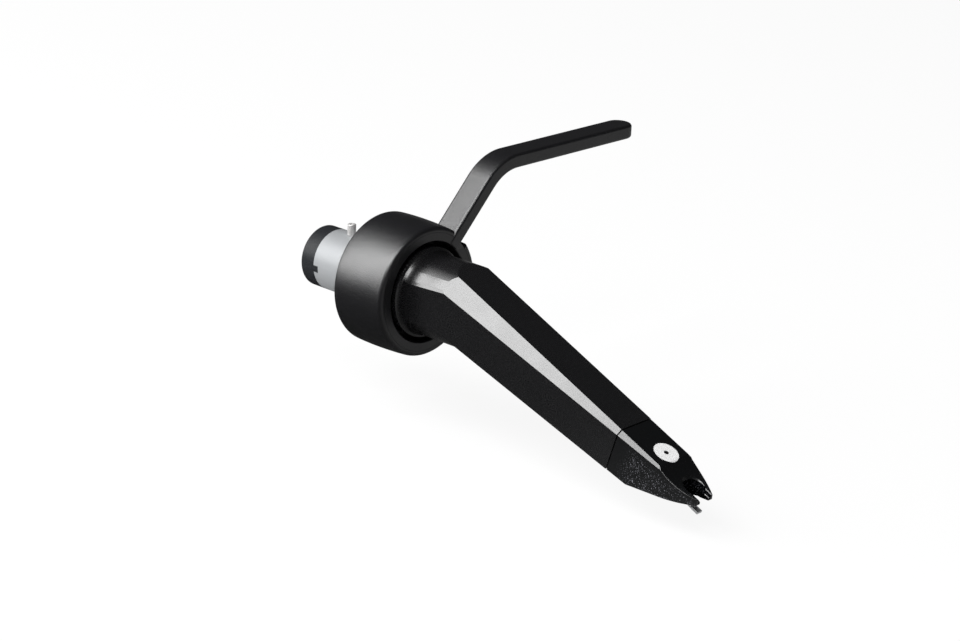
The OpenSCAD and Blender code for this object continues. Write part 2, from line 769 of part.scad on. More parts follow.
module stylus_sleeve() {
    color([0.75, 0.75, 0.76]) slide_frame() difference() {
        slide_bar(sleeve_d / 2, sleeve_front, -sleeve_back);
        slide_bar(sleeve_d / 2 - sleeve_wall, sleeve_front + over, -sleeve_back - over);
    }
}

module tie_anchor() {
    color([0.76, 0.62, 0.30]) slide_frame() difference() {
        slide_bar(sleeve_d / 2 - sleeve_wall - fit_gap, anchor_front_s, anchor_rear_s);
        slide_bar(wire_d / 2 + fit_gap, anchor_front_s + over, anchor_rear_s - over);
    }
}

module tie_wire() {
    color([0.70, 0.70, 0.72]) slide_frame() slide_bar(wire_d / 2, wire_front_s, wire_rear_s);
}

module suspension_ring() {
    color([0.07, 0.07, 0.07]) slide_frame() difference() {
        slide_bar(sleeve_d / 2 - sleeve_wall - swing_gap, pivot_s + pivot_len, pivot_s - pivot_len);
        slide_bar(stub_d / 2 + swing_gap, pivot_s + 1, pivot_s - 1);
    }
}

module cantilever() {
    tube_front = cantilever_end - flat_len;
    tube_rear = pivot_s + pivot_len + swing_gap;
    blend_len = 0.7;
    color([0.84, 0.84, 0.85]) difference() {
        slide_frame() {
            difference() {
                slide_bar(cantilever_d / 2, tube_front - blend_len, tube_rear);
                slide_bar(cantilever_d / 2 - cantilever_wall, tube_front, tube_rear + 0.5);
            }
            slide_bar(stub_d / 2, tube_rear + 0.5, magnet_rear_s);
            hull() {
                slide_bar(cantilever_d / 2, tube_front - blend_len + 0.02, tube_front - blend_len, $fn = 32);
                slide_block(flat_w / 2, flat_t / 2, flat_t / 2, tube_front + 0.02, tube_front);
            }
            slide_block(flat_w / 2, flat_t / 2, flat_t / 2, cantilever_end, tube_front);
        }
        translate([0, -tip_h, -far]) cylinder(d = diamond_d + 2 * fit_gap, h = far);
    }
}

module magnet() {
    color([0.35, 0.35, 0.37]) slide_frame() difference() {
        slide_bar(magnet_d / 2, magnet_rear_s + magnet_len, magnet_rear_s);
        slide_bar(stub_d / 2 + fit_gap, magnet_rear_s + magnet_len + over, magnet_rear_s - over);
    }
}

module diamond_tip() {
    cone_len = 0.16;
    top = from_slide(0, tip_s, 0)[2] + flat_t / 2 + 0.05;
    color([0.55, 0.60, 0.66]) translate([0, -tip_h, top - diamond_len]) {
        cylinder(d1 = 0.04, d2 = diamond_d, h = cone_len);
        translate([0, 0, cone_len]) cylinder(d = diamond_d, h = diamond_len - cone_len);
    }
}

connector_tube();
contact_carrier();
locating_pin();
contact(-1, 1);  // contact_left_upper
contact(-1, -1);  // contact_left_lower
contact(1, 1);  // contact_right_upper
contact(1, -1);  // contact_right_lower
collar();
finger_lift();
body_shell();
screening_can();
coil_former();
rear_yoke();
terminal_board();
pole(-1, 1);  // pole_left_upper
pole(-1, -1);  // pole_left_lower
pole(1, 1);  // pole_right_upper
pole(1, -1);  // pole_right_lower
coil(-1, 1);  // coil_left_upper
coil(-1, -1);  // coil_left_lower
coil(1, 1);  // coil_right_upper
coil(1, -1);  // coil_right_lower
terminal(-1, 1);  // terminal_left_upper
terminal(-1, -1);  // terminal_left_lower
terminal(1, 1);  // terminal_right_upper
terminal(1, -1);  // terminal_right_lower
lead(-1, 1);  // lead_left_upper
lead(-1, -1);  // lead_left_lower
lead(1, 1);  // lead_right_upper
lead(1, -1);  // lead_right_lower
stylus_shell();
stylus_sleeve();
tie_anchor();
tie_wire();
suspension_ring();
cantilever();
magnet();
diamond_tip();
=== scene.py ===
"""Finishes, rounded edges and studio for a plug-in turntable stylus cartridge.

Lengths are metres in the part's own frame: +Y runs out of the plug, -Y towards the stylus,
+Z is up and the finger lift reaches to +X.
"""

import json
import math

import bmesh
import bpy
from bpy.props import FloatProperty, FloatVectorProperty, IntProperty, PointerProperty
from mathutils import Matrix, Vector


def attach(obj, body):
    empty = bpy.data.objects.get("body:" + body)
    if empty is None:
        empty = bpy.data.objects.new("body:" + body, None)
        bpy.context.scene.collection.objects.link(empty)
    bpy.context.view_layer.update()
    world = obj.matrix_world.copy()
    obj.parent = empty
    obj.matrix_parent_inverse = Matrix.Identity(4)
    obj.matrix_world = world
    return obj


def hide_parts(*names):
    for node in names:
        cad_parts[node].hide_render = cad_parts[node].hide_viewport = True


bl_info = {
    "name": "Stylus Cartridge",
    "version": (1, 0, 0),
    "blender": (4, 5, 0),
    "location": "3D View > Sidebar > Cartridge",
    "description": "Dresses a plug-in stylus cartridge with rounded edges and finishes",
    "category": "Object",
}

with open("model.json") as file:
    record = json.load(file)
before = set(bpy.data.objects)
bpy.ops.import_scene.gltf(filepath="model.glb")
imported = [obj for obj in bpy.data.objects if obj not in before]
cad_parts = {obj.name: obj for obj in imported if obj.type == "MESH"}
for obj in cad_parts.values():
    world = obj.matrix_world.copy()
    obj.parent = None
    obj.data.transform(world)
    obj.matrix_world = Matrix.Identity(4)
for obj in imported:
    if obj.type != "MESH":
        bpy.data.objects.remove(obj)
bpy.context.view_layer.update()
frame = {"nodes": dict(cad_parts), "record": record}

MM = 0.001
BODY_OF = {n: b for b, nodes in frame["record"]["behaviour"]["bodies"].items() for n in nodes}

LEVELS = ("upper", "lower")
SIDES = ("left", "right")
QUARTERS = [f"{side}_{level}" for side in SIDES for level in LEVELS]

# The body's top face: its slope, and the edge at its rear end
SLOPE = math.radians(23.4)
ELBOW = Vector((0, -15.67, 4.54)) * MM

# Mesh tolerances
SAME_POINT = 0.0005 * MM
FLAT_ANGLE = math.radians(0.4)
SMOOTH_ANGLE = math.radians(35)
NOSE_STEP = 0.04 * MM
ARM_SLIVER = 0.005 * MM

# Radius of the tube's edges, as a share of the plug's
TUBE_EDGE = 0.6

# Normals that tell the nose's faces apart: a top's rises by more than TOP_RISE and points
# sideways by less than TOP_SIDEWAYS, and a side's rises or falls by less than SIDE_RISE
TOP_RISE = 0.6
TOP_SIDEWAYS = 0.1
SIDE_RISE = 0.3


# Settings

def length(name, what, millimetres):
    return FloatProperty(name=name, description=what, default=millimetres * MM, min=0,
                         unit="LENGTH", precision=5)


def number(name, what, default):
    return FloatProperty(name=name, description=what, default=default)


def angle(name, what, degrees):
    return FloatProperty(name=name, description=what, default=math.radians(degrees),
                         subtype="ANGLE")


def colour(name, what, default):
    return FloatVectorProperty(name=name, description=what, default=default, size=3, min=0, max=1,
                               subtype="COLOR")


class CartridgeSizes(bpy.types.PropertyGroup):
    """Radii and grain sizes of the dressed pieces"""

    body_edge: length("Body edge", "Radius of the body's sharp edges", 0.1)
    unit_edge: length("Stylus unit edge", "Radius of the stylus unit's edges", 0.09)
    collar_edge: length("Collar edge", "Radius of the edges in the collar's mouth", 0.12)
    plug_edge: length("Plug edge", "Radius of the plug's edges", 0.1)
    lift_edge: length("Lift edge", "Radius of the ring's edges", 0.08)
    arm_step: length("Arm step", "Largest step that is closed between the arm's lengths", 0.025)
    fine_grain: length("Fine grain", "Size of the paint's grain", 0.13)
    coarse_grain: length("Coarse grain", "Size of the sparks on the stylus unit's sides", 0.17)
    disc_radius: length("Disc radius", "Radius of the printed disc", 1.56)
    disc_place: length("Disc place", "Distance of the disc's centre below the elbow", 34.24)
    nose_edge: length("Nose edge", "Radius of the nose's long upper edges", 0.17)
    nose_start: length("Nose start", "Distance of the nose's rear end ahead of the seat", 48)
    sight_place: length("Sight place", "Distance of the sight hole below the elbow", 39.45)
    # The recess round the sight hole, the notch's walls and its bevels are painted dark as shade,
    # and the lines along the bevels' edges are left out of it
    recess_radius: length("Recess radius", "Radius of the matt recess round the sight hole", 1.4)
    notch_half: length("Notch half", "Half width of the notch between its bevels", 0.78)
    bevel_end: length("Bevel end", "Half width of the notch over its bevels", 1.21)
    # Width of the lines along the bevels' edges that are left out of the painted shade, so they
    # keep the lamps' highlights
    unshaded_edge: length("Worn edge", "Width of the polished lines along the notch's bevels", 0.08)
    segments: IntProperty(name="Edge segments", description="Steps of a rounded edge", default=3,
                          min=1, max=6)


class CartridgeColours(bpy.types.PropertyGroup):
    """Colours of the finishes"""

    satin: colour("Satin black", "Paint of the collar and the finger lift", (0.005, 0.005, 0.006))
    grained: colour("Grained black", "Paint of the body", (0.005, 0.005, 0.0055))
    unit: colour("Stylus unit black", "Moulded black of the stylus unit", (0.0014, 0.0017, 0.0021))
    spark: colour("Spark", "Pale grains in the stylus unit's sides", (0.15, 0.15, 0.17))
    insulator: colour("Insulator black", "Black of the contact carrier", (0.016, 0.017, 0.019))
    aluminium: colour("Aluminium", "Cantilever, sleeve and tie wire", (0.76, 0.77, 0.78))
    tube: colour("Tube", "Satin aluminium of the plug's tube", (0.34, 0.35, 0.36))
    nickel: colour("Nickel", "Locating pin", (0.88, 0.87, 0.86))
    gilt: colour("Gilt", "Contacts, terminals and tie anchor", (0.86, 0.62, 0.28))
    print_white: colour("Print", "Printed disc", (0.92, 0.92, 0.92))
    rubber: colour("Rubber", "Suspension ring", (0.015, 0.015, 0.015))
    copper: colour("Copper", "Enamelled windings", (0.62, 0.22, 0.09))
    resin: colour("Resin", "Former of the coils", (0.05, 0.04, 0.035))
    board: colour("Board", "Terminal board", (0.12, 0.06, 0.025))
    iron: colour("Iron", "Poles, yoke and magnet", (0.35, 0.35, 0.36))
    can: colour("Can", "Screening can", (0.45, 0.45, 0.43))
    diamond: colour("Diamond", "Stylus tip", (0.05, 0.055, 0.06))


class CartridgeStudio(bpy.types.PropertyGroup):
    """Camera, lamps and floor"""

    turn: angle("View turn", "Angle of the view round the object", -47.116)
    rise: angle("View rise", "Angle of the view above the horizon", 19.868)
    roll: angle("View roll", "Tilt of the picture", 2.263)
    distance: length("View distance", "Distance of the camera from the seat's plane", 300)
    shift_right: length("Shift right", "How far the camera stands to the right", 12.304)
    shift_down: length("Shift down", "How far the camera stands below the seat's centre", 5.645)
    lens: number("Lens", "Focal length in millimetres", 89.15)
    floor_drop: length("Floor drop", "Depth of the floor below the seat's centre", 18)
    key_light: number("Key light", "Radiance of the main softbox", 10.8)
    rear_light: number("Rear light", "Radiance of the softbox behind the plug", 7.5)
    upper_light: number("Upper light", "Radiance of the softbox above the plug", 1.6)
    fill_light: number("Fill light", "Radiance of the front softbox", 9.5)
    ambient: number("Ambient", "Strength of the room as a lamp", 0.1)
    mirrored: number("Mirrored room", "Brightness of the room in reflections", 0.03)
    # The floor's glow in reflections runs from the rear value to the front value: painted light
    # that grows towards the front right
    mirrored_rear: number("Mirrored rear", "Brightness of the floor behind in reflections", 0.028)
    mirrored_front: number("Mirrored front", "Brightness of the floor ahead in reflections", 0.3)
    seen: number("Floor whiteness", "Share of plain white in the floor that the camera sees", 0.9)


SETTINGS = {
    "cartridge_sizes": CartridgeSizes,
    "cartridge_colours": CartridgeColours,
    "cartridge_studio": CartridgeStudio,
}


def sizes():
    return bpy.context.scene.cartridge_sizes


def colours():
    return bpy.context.scene.cartridge_colours


def studio():
    return bpy.context.scene.cartridge_studio


# Shader maths

class Signal:
    """A value that changes over a surface, with ordinary operators"""

    def __init__(self, shader, socket):
        self.shader = shader
        self.socket = socket

    def maths(self, operation, *values):
        return self.shader.node("Math", {"operation": operation}, dict(enumerate(values)))

    def __add__(self, other):
        return self.maths("ADD", self, other)

    def __sub__(self, other):
        return self.maths("SUBTRACT", self, other)

    def __mul__(self, other):
        return self.maths("MULTIPLY", self, other)

    def __rsub__(self, other):
        return self.maths("SUBTRACT", other, self)

    def __gt__(self, other):
        return self.maths("GREATER_THAN", self, other)

    def __lt__(self, other):
        return self.maths("LESS_THAN", self, other)

    __radd__ = __add__

    def size(self):
        return self.maths("ABSOLUTE", self)

    def either(self, other):
        return self.maths("MAXIMUM", self, other)

    def root(self):
        return self.maths("SQRT", self)

    def sine(self):
        return self.maths("SINE", self)

    def clamped(self):
        return self.shader.node("Clamp", {}, {"Value": self})

    def swing(self, amount):
        """A noise turned into a change of that amount, half of it up and half down"""
        return (self - 0.5) * amount

    def ramp(self, low, high):
        """0 below low, 1 above high and a smooth step between them"""
        settings = {"interpolation_type": "SMOOTHSTEP"}
        return self.shader.node("MapRange", settings,
                                {"Value": self, "From Min": low, "From Max": high})


class Shader:
    """One material's node tree"""

    # The Mix node's colour sockets
    MIX_A, MIX_B, MIX_RESULT = 6, 7, 2

    def __init__(self, name):
        self.material = bpy.data.materials.new(name)
        self.material.use_nodes = True
        self.tree = self.material.node_tree
        self.surface = self.tree.nodes["Principled BSDF"]

    def node(self, kind, settings, values, output=0):
        made = self.tree.nodes.new("ShaderNode" + kind)
        for key, value in settings.items():
            setattr(made, key, value)
        for key, value in values.items():
            self.feed(made.inputs[key], value)
        return Signal(self, made.outputs[output])

    def feed(self, socket, value):
        if isinstance(value, Signal):
            self.tree.links.new(value.socket, socket)
        else:
            socket.default_value = value

    def set(self, **values):
        for key, value in values.items():
            if key == "Base_Color" and not isinstance(value, Signal):
                value = (*value, 1)
            self.feed(self.surface.inputs[key.replace("_", " ")], value)
        return self

    def place(self):
        return self.node("TexCoord", {}, {}, "Object")

    def axes(self, vector):
        split = self.node("SeparateXYZ", {}, {"Vector": vector})
        return [Signal(self, output) for output in split.socket.node.outputs]

    def noise(self, size, detail=2.0, roughness=0.5, vector=None):
        values = {"Vector": vector or self.place(), "Scale": 1 / size, "Detail": detail,
                  "Roughness": roughness}
        return self.node("TexNoise", {}, values, "Fac")

    def cells(self, size):
        return self.node("TexVoronoi", {}, {"Vector": self.place(), "Scale": 1 / size}, "Distance")

    def mix(self, factor, a, b):
        ends = {0: factor}
        for socket, end in ((self.MIX_A, a), (self.MIX_B, b)):
            ends[socket] = end if isinstance(end, Signal) else (*end, 1)
        return self.node("Mix", {"data_type": "RGBA"}, ends, self.MIX_RESULT)

    def bump(self, height, strength, depth):
        return self.node("Bump", {}, {"Height": height, "Strength": strength, "Distance": depth})


def scaled(tint, gain, lift=0.0):
    """The tint times the gain, plus the lift, and no brighter than 1"""
    return [min(1, c * gain + lift) for c in tint]


# Black finishes. Each grain is a fractal noise, and turns pale over PALE_GRAIN.

GRAIN = {"detail": 3.0, "roughness": 0.6}
PALE_GRAIN = (0.45, 0.75)

# Size of the uneven patches and depth of the relief, in grains
PATCH_GRAINS = 22
RELIEF_GRAINS = 0.25

# How much the grain and the patches change the roughness
BLACK_GLOSS = {"grain": 0.16, "patches": 0.05}

BLACKS = {
    "satin_black": {"tint": "satin", "roughness": 0.33, "specular": 0.95, "relief": 0.8},
    "grained_black": {"tint": "grained", "roughness": 0.27, "specular": 0.95, "relief": 0.06},
    "insulator_black": {"tint": "insulator", "roughness": 0.4, "specular": 0.15, "relief": 0.12},
}


def black_finish(name):
    """Black paint or plastic with fine grain in relief and uneven gloss"""
    look = BLACKS[name]
    tint = getattr(colours(), look["tint"])
    size = sizes().fine_grain
    shader = Shader(name)
    grain = shader.noise(size, **GRAIN)
    patches = shader.noise(size * PATCH_GRAINS)
    gloss = (look["roughness"] + grain.swing(BLACK_GLOSS["grain"])
             + patches.swing(BLACK_GLOSS["patches"]))
    shade = shader.mix(grain.ramp(*PALE_GRAIN), tint, scaled(tint, gain=1.9, lift=0.002))
    relief = shader.bump(grain, look["relief"], size * RELIEF_GRAINS)
    shader.set(Base_Color=shade, Roughness=gloss, Specular_IOR_Level=look["specular"])
    return shader.set(Normal=relief).material


# The stylus unit. The sparks come in over these depths below the top face and these
# distances ahead of the disc's centre, and over these values of their noise.

SIDE_FADE = (0.6 * MM, 1.6 * MM)
FRONT_FADE = (-3.6 * MM, -1.5 * MM)
SPARK_FADE = (0.58, 0.69)

# Half width of the print's soft edge, and the radius of its bare centre as a share of the disc's
PRINT_EDGE = 0.03 * MM
BARE_CENTRE = 0.2

# Heights over the top face: the print ends at the first, and the recess's painted shade starts at
# the second
PRINT_FLOOR = -0.5 * MM
RECESS_TOP = -0.1 * MM

# Shares of each layer in the roughness and in the relief
UNIT_GLOSS = {"base": 0.3, "grain": 0.14, "sparks": 0.1, "recess": 0.5}
UNIT_HEIGHT = {"grain": 0.5, "coarse": 0.6, "print": 0.5}
UNIT_RELIEF = {"strength": 0.3, "depth": 0.04 * MM}


def top_place(shader):
    """Across, along and over the sloping top face, from the printed disc's centre"""
    x, y, z = shader.axes(shader.place())
    along = (y - ELBOW.y) * math.cos(SLOPE) + (z - ELBOW.z) * math.sin(SLOPE)
    above = (z - ELBOW.z) * math.cos(SLOPE) - (y - ELBOW.y) * math.sin(SLOPE)
    return x, along + sizes().disc_place, above


def recess_shade_mask(x, along):
    """The walls of the sight hole and the notch and the faces of its bevels, which are painted
    dark as shade, but not the narrow lines along both edges of each bevel, which keep their
    highlights
    """
    s = sizes()
    ahead = along + (s.sight_place - s.disc_place)
    across = x.size()
    hole = (x * x + ahead * ahead).root() < s.recess_radius
    wall = across < s.notch_half
    shaded_bevels = (across > s.notch_half + s.unshaded_edge) * (across < s.bevel_end - s.unshaded_edge)
    return hole.either(wall.either(shaded_bevels) * (ahead < 0))


def print_mask(x, along, above):
    """The printed disc, without its bare centre"""
    radius = sizes().disc_radius
    bare = radius * BARE_CENTRE
    reach = (x * x + along * along).root()
    disc = 1 - reach.ramp(radius - PRINT_EDGE, radius + PRINT_EDGE)
    ring = disc * reach.ramp(bare - PRINT_EDGE, bare + PRINT_EDGE)
    return ring * (above > PRINT_FLOOR)


def unit_black():
    """The stylus unit: sparkling sides, a smooth top, the print, and painted shade in the recess
    """
    shader = Shader("stylus_unit_black")
    tint = colours().unit
    x, along, above = top_place(shader)
    grain = shader.noise(sizes().fine_grain, **GRAIN)
    coarse = shader.noise(sizes().coarse_grain, roughness=0.7)
    side = (0 - above).ramp(*SIDE_FADE)
    front = (0 - along).ramp(*FRONT_FADE)
    sparks = coarse.ramp(*SPARK_FADE) * side * front
    printed = print_mask(x, along, above)
    recess = recess_shade_mask(x, along) * (above < RECESS_TOP)
    shade = shader.mix(grain.ramp(*PALE_GRAIN), tint, scaled(tint, gain=1.7))
    shade = shader.mix(sparks, shade, colours().spark)
    shade = shader.mix(printed, shade, colours().print_white)
    gloss = (UNIT_GLOSS["base"] + grain.swing(UNIT_GLOSS["grain"]) + sparks * UNIT_GLOSS["sparks"]
             + recess * UNIT_GLOSS["recess"])
    height = (grain * UNIT_HEIGHT["grain"] + coarse * side * front * UNIT_HEIGHT["coarse"]
              + printed * UNIT_HEIGHT["print"])
    # Metallic follows the recess mask, so the recess takes a near-black mirror finish: painted
    # shade in the sight hole, the notch and its bevels
    shader.set(Base_Color=shade, Roughness=gloss, Specular_IOR_Level=0.9, Metallic=recess)
    return shader.set(Normal=shader.bump(height, **UNIT_RELIEF)).material


# Bare metals. The machining lines run along the axes whose stretch is small.

RINGS_ROUND_PLUG = (0.15, 1.0, 0.15)
RINGS_ROUND_PIN = (0.3, 0.3, 1.0)
LINES_ALONG_TUBE = (1.0, 0.1, 0.1)

# Size of the lines and of the cloud, and their shares in the shade and the roughness
METAL_LINE = 0.06 * MM
METAL_CLOUD = 1.1 * MM
METAL_SHADE = {"lines": 0.5, "cloud": 0.3}
METAL_GLOSS = {"lines": 0.14, "cloud": 0.08}

METALS = {
    "tube_aluminium": {"tint": "tube", "roughness": 0.45, "metallic": 0.15, "specular": 0.3},
    "pin_nickel": {"tint": "nickel", "roughness": 0.35, "metallic": 0.6,
                   "stretch": RINGS_ROUND_PIN},
    "cantilever_aluminium": {"tint": "aluminium", "roughness": 0.28, "metallic": 0.65,
                             "stretch": LINES_ALONG_TUBE},
    "contact_gilt": {"tint": "gilt", "roughness": 0.25},
    "pole_iron": {"tint": "iron", "roughness": 0.4},
    "can_metal": {"tint": "can", "roughness": 0.45},
}


def bare_metal(name):
    """Bare metal with fine machining lines and a faint cloud"""
    look = {"metallic": 1.0, "specular": 0.5, "stretch": RINGS_ROUND_PLUG, **METALS[name]}
    tint = getattr(colours(), look["tint"])
    shader = Shader(name)
    stretched = shader.node("Mapping", {}, {"Vector": shader.place(), "Scale": look["stretch"]})
    lines = shader.noise(METAL_LINE, roughness=0.6, vector=stretched)
    cloud = shader.noise(METAL_CLOUD, detail=3.0, roughness=0.55)
    clean = lines * METAL_SHADE["lines"] + cloud * METAL_SHADE["cloud"]
    shade = shader.mix(clean, scaled(tint, gain=0.86), tint)
    gloss = (look["roughness"] + lines.swing(METAL_GLOSS["lines"])
             + cloud.swing(METAL_GLOSS["cloud"]))
    shader.set(Base_Color=shade, Roughness=gloss, Metallic=look["metallic"],
               Specular_IOR_Level=look["specular"])
    return shader.set(Normal=shader.bump(lines, strength=0.1, depth=0.01 * MM)).material


# Other finishes: sizes of their marks, the noise over which they fade in, and their shares

FACET = 0.08 * MM
FACET_FADE = (0.2, 0.8)
FACET_GLOSS = {"base": 0.08, "facets": 0.1}

WIRE_PITCH = 0.07 * MM
WIRE_CLOUD = 0.3 * MM
# The turns' share darkens the grooves between the wire's turns: painted shade
WIRE_SHADE = {"turns": 0.6, "cloud": 0.3}
WIRE_GLOSS = {"base": 0.3, "cloud": 0.1}

MOTTLE = 0.2 * MM
MOTTLE_FADE = (0.35, 0.7)
MOTTLE_GLOSS = 0.15
MOTTLE_DEPTH = MOTTLE * 0.2


def tip_diamond():
    """Diamond with ground facets"""
    shader = Shader("tip_diamond")
    tint = colours().diamond
    facets = shader.cells(FACET)
    shade = shader.mix(facets.ramp(*FACET_FADE), tint, scaled(tint, gain=2.5))
    gloss = FACET_GLOSS["base"] + facets * FACET_GLOSS["facets"]
    shader.set(Base_Color=shade, Roughness=gloss, Specular_IOR_Level=0.9)
    return shader.material


def wound_copper():
    """Enamelled wire, wound round the coil's own axis, with painted shade in the grooves between
    its turns
    """
    shader = Shader("wound_copper")
    tint = colours().copper
    along = top_place(shader)[1]
    turns = (along * (math.tau / WIRE_PITCH)).sine()
    cloud = shader.noise(WIRE_CLOUD)
    # The colour darkens in the grooves between the turns, which is painted shade, and varies with
    # a random cloud of tone
    groove_shade_and_cloud = turns.ramp(-1, 1) * WIRE_SHADE["turns"] + cloud * WIRE_SHADE["cloud"]
    shade = shader.mix(groove_shade_and_cloud, scaled(tint, gain=0.4), tint)
    gloss = WIRE_GLOSS["base"] + cloud * WIRE_GLOSS["cloud"]
    shader.set(Base_Color=shade, Roughness=gloss, Metallic=0.8)
    return shader.set(Normal=shader.bump(turns, strength=0.4, depth=0.02 * MM)).material


def moulded(name, tint, roughness):
    """Plain moulded or coated stuff with a light mottle"""
    shader = Shader(name)
    mottle = shader.noise(MOTTLE, detail=3.0)
    shade = shader.mix(mottle.ramp(*MOTTLE_FADE), scaled(tint, gain=0.8), tint)
    shader.set(Base_Color=shade, Roughness=roughness + mottle.swing(MOTTLE_GLOSS))
    return shader.set(Normal=shader.bump(mottle, strength=0.15, depth=MOTTLE_DEPTH)).material


# Meshes

def add_object(name, bm, material):
    mesh = bpy.data.meshes.new(name)
    bm.to_mesh(mesh)
    bm.free()
    mesh.materials.append(material)
    piece = bpy.data.objects.new(name, mesh)
    bpy.context.scene.collection.objects.link(piece)
    return piece


def stand_for(piece, *nodes):
    """The piece replaces these nodes and rides their body"""
    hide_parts(*nodes)
    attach(piece, BODY_OF[nodes[0]])


def merged_copy(node):
    """The node's mesh with its vertices joined and its flat faces whole"""
    bm = bmesh.new()
    bm.from_mesh(frame["nodes"][node].data)
    bmesh.ops.remove_doubles(bm, verts=bm.verts, dist=SAME_POINT)
    bmesh.ops.dissolve_limit(bm, angle_limit=FLAT_ANGLE, verts=bm.verts, edges=bm.edges,
                             delimit=set())
    return bm


def sharp_edges(bm, degrees):
    limit = math.radians(degrees)
    return [e for e in bm.edges if len(e.link_faces) == 2 and e.calc_face_angle() > limit]


def bevel(bm, edges, radius, clamp=True):
    bmesh.ops.bevel(bm, geom=edges, offset=radius, offset_type="OFFSET", affect="EDGES",
                    segments=sizes().segments, profile=0.5, clamp_overlap=clamp, material=-1)


def dress(node, material, radius=0.0, degrees=0, shape=None):
    """A copy of a node, with edges over that many degrees rounded, which stands for the node

    shape is a function that works on the mesh before the edges are rounded.
    """
    bm = merged_copy(node)
    if shape:
        shape(bm)
    if radius:
        bevel(bm, sharp_edges(bm, degrees), radius)
    piece = add_object(node + "_dressed", bm, material)
    piece.data.shade_smooth()
    piece.data.set_sharp_from_angle(angle=SMOOTH_ANGLE)
    weights = piece.modifiers.new("Even shading", "WEIGHTED_NORMAL")
    weights.keep_sharp = True
    stand_for(piece, node)


def ease_nose(bm):
    """Rounds the nose's long upper edges, whose short steps would hold the other edges back"""
    rear_end = -sizes().nose_start
    ahead = [v for v in bm.verts if v.co.y < rear_end]
    bmesh.ops.remove_doubles(bm, verts=ahead, dist=NOSE_STEP)
    bm.normal_update()
    edges = []
    for edge in bm.edges:
        if len(edge.link_faces) != 2 or max(v.co.y for v in edge.verts) > rear_end:
            continue
        outward = edge.verts[0].co.x
        normals = [face.normal for face in edge.link_faces]
        tops = [n for n in normals if n.z > TOP_RISE and abs(n.x) < TOP_SIDEWAYS]
        sides = [n for n in normals if abs(n.z) < SIDE_RISE and n.x * outward > 0]
        if tops and sides:
            edges.append(edge)
    bevel(bm, edges, sizes().nose_edge, clamp=False)


def join_arm(bm):
    """Closes the hair-wide steps between the lengths of the finger lift's arm"""
    bmesh.ops.remove_doubles(bm, verts=bm.verts, dist=sizes().arm_step)
    bmesh.ops.dissolve_degenerate(bm, edges=bm.edges, dist=ARM_SLIVER)


def finish(node, material):
    """Gives a node that keeps its own mesh a better material"""
    for slot in frame["nodes"][node].material_slots:
        slot.material = material


# Operators

class CARTRIDGE_OT_plug(bpy.types.Operator):
    """Tube, contact carrier, locating pin and contacts of the plug"""

    bl_idname = "cartridge.plug"
    bl_label = "Plug"

    def execute(self, context):
        radius = sizes().plug_edge
        dress("connector_tube", bare_metal("tube_aluminium"), radius * TUBE_EDGE, degrees=60)
        dress("contact_carrier", black_finish("insulator_black"), radius, degrees=60)
        dress("locating_pin", bare_metal("pin_nickel"))
        gilt = bare_metal("contact_gilt")
        for quarter in QUARTERS:
            finish(f"contact_{quarter}", gilt)
        return {"FINISHED"}


class CARTRIDGE_OT_collar(bpy.types.Operator):
    """Collar and finger lift"""

    bl_idname = "cartridge.collar"
    bl_label = "Collar and finger lift"

    def execute(self, context):
        paint = black_finish("satin_black")
        dress("collar", paint, sizes().collar_edge, degrees=50)
        dress("finger_lift", paint, sizes().lift_edge, degrees=50, shape=join_arm)
        return {"FINISHED"}


class CARTRIDGE_OT_body(bpy.types.Operator):
    """Body with its neck"""

    bl_idname = "cartridge.body"
    bl_label = "Body"

    def execute(self, context):
        dress("body_shell", black_finish("grained_black"), sizes().body_edge, degrees=18)
        return {"FINISHED"}


class CARTRIDGE_OT_generator(bpy.types.Operator):
    """Screening can, coils, poles, yoke, terminals and leads"""

    bl_idname = "cartridge.generator"
    bl_label = "Generator"

    def execute(self, context):
        iron = bare_metal("pole_iron")
        copper = wound_copper()
        gilt = bare_metal("contact_gilt")
        finish("screening_can", bare_metal("can_metal"))
        finish("coil_former", moulded("former_resin", colours().resin, roughness=0.45))
        finish("terminal_board", moulded("board_sheet", colours().board, roughness=0.55))
        finish("rear_yoke", iron)
        for quarter in QUARTERS:
            finish(f"pole_{quarter}", iron)
            finish(f"coil_{quarter}", copper)
            finish(f"terminal_{quarter}", gilt)
            lead = f"lead_{quarter}"
            tint = frame["nodes"][lead].data.materials[0].diffuse_color[:3]
            finish(lead, moulded(f"sleeving_{quarter}", tint, roughness=0.3))
        return {"FINISHED"}


class CARTRIDGE_OT_stylus_unit(bpy.types.Operator):
    """Pull-off stylus unit with its sleeve, tie wire and anchor"""

    bl_idname = "cartridge.stylus_unit"
    bl_label = "Stylus unit"

    def execute(self, context):
        dress("stylus_shell", unit_black(), sizes().unit_edge, degrees=34, shape=ease_nose)
        metal = bare_metal("cantilever_aluminium")
        finish("stylus_sleeve", metal)
        finish("tie_wire", metal)
        finish("tie_anchor", bare_metal("contact_gilt"))
        return {"FINISHED"}


class CARTRIDGE_OT_cantilever(bpy.types.Operator):
    """Suspension ring, cantilever, magnet and tip"""

    bl_idname = "cartridge.cantilever"
    bl_label = "Cantilever"

    def execute(self, context):
        rubber = moulded("suspension_rubber", colours().rubber, roughness=0.7)
        finish("suspension_ring", rubber)
        finish("magnet", bare_metal("pole_iron"))
        dress("cantilever", bare_metal("cantilever_aluminium"))
        finish("diamond_tip", tip_diamond())
        return {"FINISHED"}


# Stage. Each softbox has its direction from the body, its width and height in metres, and
# the setting of its radiance.

